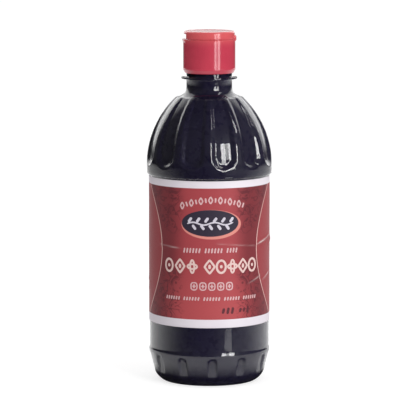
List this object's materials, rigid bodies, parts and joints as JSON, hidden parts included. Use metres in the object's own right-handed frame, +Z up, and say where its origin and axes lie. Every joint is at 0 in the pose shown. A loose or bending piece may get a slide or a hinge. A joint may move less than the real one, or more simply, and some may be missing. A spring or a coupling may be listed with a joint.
{
  "type": "soy sauce bottle",
  "caption": "Clear plastic bottle with a fluted shoulder, full of dark soy sauce, with a red and white wrap label and a red flip-top cap that is shut.",
  "frame": {"origin": "centre of the foot's underside, on the surface that the bottle stands on", "axes": "+Z up along the bottle; the label's front faces -Y, the cap's thumb recess -X and its hinge +X"},
  "size_m": [0.0688, 0.0688, 0.1933],
  "materials": {
    "clear_plastic": "clear glossy moulded plastic",
    "sauce": "dark liquid",
    "label_film": "satin printed film",
    "cap_plastic": "satin moulded plastic"
  },
  "bodies": {
    "root": {"bottle": "clear_plastic", "soy_sauce": "sauce", "label": "label_film", "cap": "cap_plastic"}
  },
  "joints": []
}
